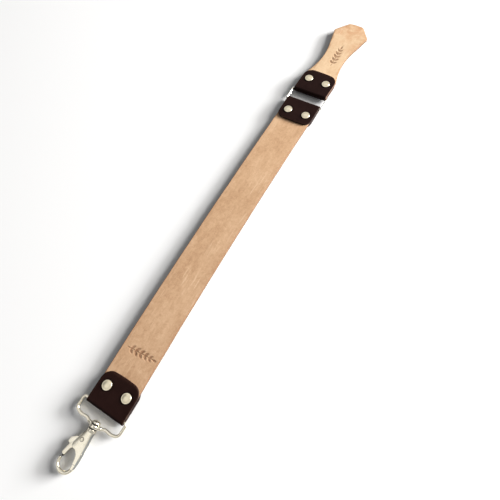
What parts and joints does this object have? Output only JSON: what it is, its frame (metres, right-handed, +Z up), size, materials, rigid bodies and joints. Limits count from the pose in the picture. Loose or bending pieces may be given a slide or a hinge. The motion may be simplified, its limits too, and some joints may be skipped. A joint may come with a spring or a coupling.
{
  "type": "leather strop",
  "caption": "Hanging leather strop: long smooth strap, paddle handle on a wire ring, dark folded end pieces with capped rivets, and a swivel trigger snap hook.",
  "frame": {"origin": "on the surface the strop lies on, under the middle of its length, face up", "axes": "+X across the strap to the right, +Y along the strap from the snap hook to the handle, +Z up out of the strap's smooth face"},
  "size_m": [0.0653, 0.7262, 0.0108],
  "materials": {
    "strap_leather": "smooth vegetable-tanned tan leather, mottled",
    "handle_leather": "smooth golden tan leather",
    "dark_leather": "very dark brown leather, satin",
    "rivet_metal": "pale gold plated caps",
    "ring_nickel": "bright nickel",
    "hook_nickel": "bright nickel, warm tint",
    "spring_steel": "bright spring wire"
  },
  "bodies": {
    "strap": {"strap": "strap_leather", "hook_chape": "dark_leather", "ring_chape": "dark_leather", "hook_rivet_left_cap": "rivet_metal", "hook_rivet_left_post": "rivet_metal", "hook_rivet_right_cap": "rivet_metal", "hook_rivet_right_post": "rivet_metal", "ring_rivet_left_cap": "rivet_metal", "ring_rivet_left_post": "rivet_metal", "ring_rivet_right_cap": "rivet_metal", "ring_rivet_right_post": "rivet_metal"},
    "ring": {"connecting_ring": "ring_nickel"},
    "handle": {"handle": "handle_leather", "handle_chape": "dark_leather", "handle_rivet_left_cap": "rivet_metal", "handle_rivet_left_post": "rivet_metal", "handle_rivet_right_cap": "rivet_metal", "handle_rivet_right_post": "rivet_metal"},
    "loop": {"swivel_loop": "hook_nickel"},
    "hook": {"snap_hook": "hook_nickel", "gate_pin": "hook_nickel", "gate_spring": "spring_steel"},
    "gate": {"gate_lever": "hook_nickel"}
  },
  "joints": [
    {"name": "ring_hinge", "type": "hinge", "parent": "strap", "child": "ring", "pos_m": [0, 0.18565, 0.0054], "axis": [1, 0, 0], "range_deg": [-90, 90]},
    {"name": "handle_hinge", "type": "hinge", "parent": "ring", "child": "handle", "pos_m": [0, 0.20795, 0.0054], "axis": [1, 0, 0], "range_deg": [-90, 90]},
    {"name": "loop_hinge", "type": "hinge", "parent": "strap", "child": "loop", "pos_m": [-0.0015, -0.28985, 0.0054], "axis": [1, 0, 0], "range_deg": [-120, 120]},
    {"name": "hook_swivel", "type": "hinge", "parent": "loop", "child": "hook", "pos_m": [-0.0015, -0.30925, 0.0054], "axis": [0, 1, 0], "continuous": true},
    {"name": "gate_hinge", "type": "hinge", "parent": "hook", "child": "gate", "pos_m": [-0.0038, -0.32525, 0.0054], "axis": [0, 0, 1], "range_deg": [0, 22], "stiffness_Nm_per_rad": 0.05, "springref_deg": -28.65, "deforming": ["gate_spring"]}
  ]
}
